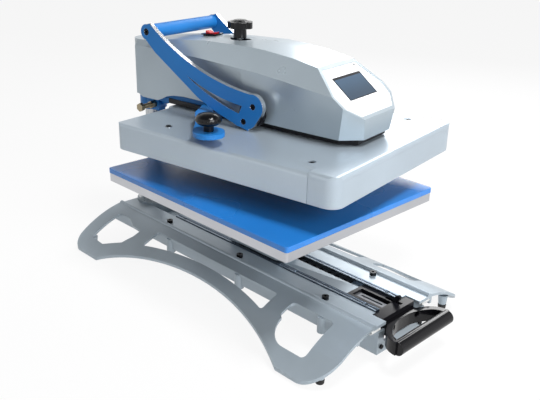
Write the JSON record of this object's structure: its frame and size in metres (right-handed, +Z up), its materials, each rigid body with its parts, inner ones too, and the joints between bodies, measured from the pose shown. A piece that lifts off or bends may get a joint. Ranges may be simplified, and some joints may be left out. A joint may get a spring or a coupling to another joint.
{
  "type": "swing-away heat press",
  "caption": "Lever-closed heat press for dry mounting, with a swing-away heated head, a silicone-padded platen on a draw-out slide and an arched cast base.",
  "frame": {"origin": "on the bench, straight below the centre of the lower platen", "axes": "+X to the operator's right, +Y to the rear, +Z up"},
  "size_m": [0.5261, 0.827, 0.524],
  "materials": {
    "base_paint": "satin silver-grey paint",
    "casing_paint": "glossy silver-grey paint",
    "housing_plastic": "glossy silver-grey moulding",
    "panel_white": "white film over a moulded panel",
    "screen": "dark touch screen",
    "blue_paint": "glossy blue paint",
    "blue_silicone": "matt blue silicone sheet",
    "black_gloss": "glossy black moulding",
    "black_paint": "satin black paint",
    "black_steel": "blackened steel",
    "red_plastic": "glossy red moulding",
    "white_nylon": "white nylon",
    "foot_rubber": "black rubber",
    "aluminium": "fine milled aluminium",
    "steel": "bright steel",
    "brass": "yellow-plated steel",
    "bronze": "bronze",
    "board_green": "circuit board"
  },
  "bodies": {
    "base": {"base_casting": "base_paint", "front_crossmember": "base_paint", "crossmember_screws": "black_steel", "handle_buffers": "white_nylon", "left_rail": "aluminium", "right_rail": "aluminium", "rail_screws": "steel", "bed_screws": "black_steel", "rubber_feet": "foot_rubber", "swing_post": "steel", "post_bolts": "steel", "post_cap": "steel"},
    "drawer": {"carriage": "aluminium", "slide_shoes": "white_nylon", "index_strip": "black_paint", "pedestal": "base_paint", "pedestal_bolts": "steel", "platen_spider": "base_paint", "lower_platen": "aluminium", "platen_screws": "steel", "silicone_pad": "blue_silicone", "draw_frame": "black_paint", "draw_bar": "steel", "draw_handle": "black_gloss", "handle_bolts": "black_steel", "lock_pin": "steel"},
    "drawer_lock": {"lock_lever": "black_paint"},
    "arm": {"swing_casting": "blue_paint", "post_bushes": "bronze", "stop_screw": "brass", "swing_handle_stud": "steel", "swing_handle_knob": "black_gloss", "arm_deck": "black_paint", "deck_screws": "steel", "shaft_bearings": "steel", "guide_bushes": "bronze", "arm_housing": "housing_plastic", "control_panel": "panel_white", "touch_screen": "screen", "status_lens": "black_gloss", "control_board": "board_green", "power_inlet": "black_gloss", "switch_frame": "black_gloss", "spindle_nut": "brass"},
    "rocker": {"switch_rocker": "red_plastic"},
    "lever": {"lever_shaft": "steel", "cam_plates": "steel", "lever_hubs": "black_paint", "left_lever_plate": "blue_paint", "right_lever_plate": "blue_paint", "lever_bolts": "black_steel", "grip_tube": "blue_paint", "grip_bolts": "black_steel"},
    "head": {"heater_casing": "casing_paint", "casing_screws": "black_steel", "heated_platen": "aluminium", "press_bridge": "steel", "guide_rods": "steel"},
    "pressure_screw": {"pressure_knob": "black_gloss", "pressure_spindle": "steel"}
  },
  "joints": [
    {"name": "drawer_slide", "type": "slide", "parent": "base", "child": "drawer", "axis": [0, -1, 0], "range_m": [0, 0.28]},
    {"name": "drawer_lock_turn", "type": "hinge", "parent": "drawer", "child": "drawer_lock", "pos_m": [0.0203, -0.311, 0.064], "axis": [-1, 0, 0], "range_deg": [0, 38]},
    {"name": "arm_swing", "type": "hinge", "parent": "base", "child": "arm", "pos_m": [0, 0.373, 0.371], "axis": [0, 0, 1], "range_deg": [-8.5, 81.5]},
    {"name": "power_switch_tilt", "type": "hinge", "parent": "arm", "child": "rocker", "pos_m": [0.02661, 0.19498, 0.4862], "axis": [-0.989, -0.1478, 0], "range_deg": [0, 12]},
    {"name": "lever_turn", "type": "hinge", "parent": "arm", "child": "lever", "pos_m": [0.05321, 0.01695, 0.371], "axis": [0.989, 0.1478, 0], "range_deg": [0, 150]},
    {"name": "head_press", "type": "slide", "parent": "arm", "child": "head", "axis": [0, 0, -1], "range_m": [0, 0.04601]},
    {"name": "pressure_turn", "type": "hinge", "parent": "arm", "child": "pressure_screw", "pos_m": [0.03754, 0.12179, 0.5], "axis": [0, 0, -1], "range_deg": [-720, 720]}
  ],
  "couplings": [
    {"joint": "head_press", "follows": "lever_turn", "m_per_rad": 0.017571}
  ]
}
